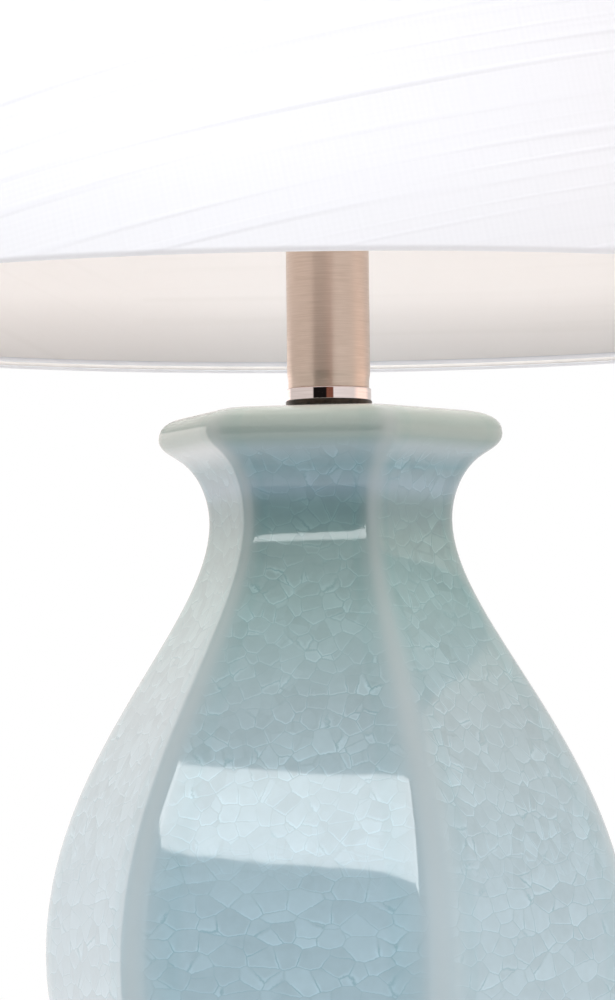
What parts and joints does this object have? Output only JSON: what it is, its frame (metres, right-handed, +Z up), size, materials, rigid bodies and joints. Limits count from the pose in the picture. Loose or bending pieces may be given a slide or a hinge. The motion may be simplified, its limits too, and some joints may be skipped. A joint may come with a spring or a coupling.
{
  "type": "ginger jar lamp",
  "caption": "Table lamp: six-sided celadon crackle-glaze jar, brushed nickel neck, harp, socket and bulb under a tapered white linen drum shade with a finial",
  "frame": {"origin": "centre of the lamp's foot, on the surface it stands on", "axes": "+Z up along the lamp's axis; one flat of the jar and the switch knob face -Y, the front; the cord inlet faces +Y"},
  "size_m": [0.394, 0.394, 0.667],
  "materials": {
    "felt": "dense black-brown wool felt",
    "plate_steel": "black painted steel plate",
    "zinc_steel": "zinc plated steel",
    "grommet_rubber": "black moulded rubber",
    "celadon_glaze": "duck-egg celadon crackle glaze, glossy",
    "gasket_bronze": "dark bronze washer",
    "polished_nickel": "mirror polished nickel",
    "brushed_nickel": "warm satin nickel, brushed round the tube",
    "harp_nickel": "nickel plated steel wire",
    "socket_nickel": "nickel plated socket shell",
    "liner_board": "insulating fibre board",
    "phenolic": "black moulded phenolic",
    "screw_shell_brass": "thin rolled brass",
    "contact_brass": "plain brass",
    "knob_black": "black moulded knob",
    "bulb_insulator": "black vitrite insulator",
    "bulb_aluminium": "rolled aluminium cap",
    "bulb_frosted_glass": "frosted white glass",
    "linen": "white slub linen",
    "shade_lining": "white styrene lining",
    "white_wire": "white coated steel wire"
  },
  "bodies": {
    "root": {"felt_pad": "felt", "base_plate": "plate_steel", "base_washer": "zinc_steel", "base_nut": "zinc_steel", "threaded_rod": "zinc_steel", "cord_grommet": "grommet_rubber", "jar_body": "celadon_glaze", "neck_gasket": "gasket_bronze", "neck_ring": "polished_nickel", "neck_tube": "brushed_nickel", "neck_cap": "brushed_nickel", "harp_saddle": "harp_nickel", "harp_wire": "harp_nickel", "harp_stud": "harp_nickel", "saddle_nut": "zinc_steel", "socket_cap": "socket_nickel", "set_screw": "zinc_steel", "socket_shell": "socket_nickel", "socket_liner": "liner_board", "socket_block": "phenolic", "terminal_screws": "contact_brass", "screw_shell": "screw_shell_brass", "centre_contact": "contact_brass"},
    "switch": {"switch_shaft": "contact_brass", "switch_knob": "knob_black"},
    "bulb_core": {"bulb_core": "bulb_insulator"},
    "bulb": {"bulb_cap": "bulb_aluminium", "bulb_glass": "bulb_frosted_glass"},
    "sleeve_left": {"harp_sleeve_left": "harp_nickel"},
    "sleeve_right": {"harp_sleeve_right": "harp_nickel"},
    "shade": {"shade_cover": "linen", "shade_liner": "shade_lining", "shade_bottom_ring": "white_wire", "shade_top_ring": "white_wire", "shade_spider": "white_wire"},
    "finial_insert": {"finial_insert": "contact_brass"},
    "finial": {"finial_knob": "brushed_nickel"}
  },
  "joints": [
    {"name": "switch_turn", "type": "hinge", "parent": "root", "child": "switch", "pos_m": [0, -0.019, 0.4395], "axis": [0, -1, 0], "continuous": true},
    {"name": "bulb_lift", "type": "slide", "parent": "root", "child": "bulb_core", "axis": [0, 0, 1], "range_m": [0, 0.02]},
    {"name": "bulb_turn", "type": "hinge", "parent": "bulb_core", "child": "bulb", "pos_m": [0, 0, 0.46], "axis": [0, 0, 1], "range_deg": [0, 1980]},
    {"name": "sleeve_left_lift", "type": "slide", "parent": "root", "child": "sleeve_left", "axis": [0, 0, 1], "range_m": [0, 0.014]},
    {"name": "sleeve_right_lift", "type": "slide", "parent": "root", "child": "sleeve_right", "axis": [0, 0, 1], "range_m": [0, 0.014]},
    {"name": "shade_swivel", "type": "hinge", "parent": "root", "child": "shade", "pos_m": [0, 0, 0.635], "axis": [0, 0, 1], "continuous": true},
    {"name": "finial_lift", "type": "slide", "parent": "root", "child": "finial_insert", "axis": [0, 0, 1], "range_m": [0, 0.0047]},
    {"name": "finial_turn", "type": "hinge", "parent": "finial_insert", "child": "finial", "pos_m": [0, 0, 0.64], "axis": [0, 0, 1], "range_deg": [0, 1800]}
  ],
  "couplings": [
    {"joint": "bulb_lift", "follows": "bulb_turn", "m_per_rad": 0.00057757},
    {"joint": "finial_turn", "follows": "finial_lift", "rad_per_m": 6679.3}
  ]
}
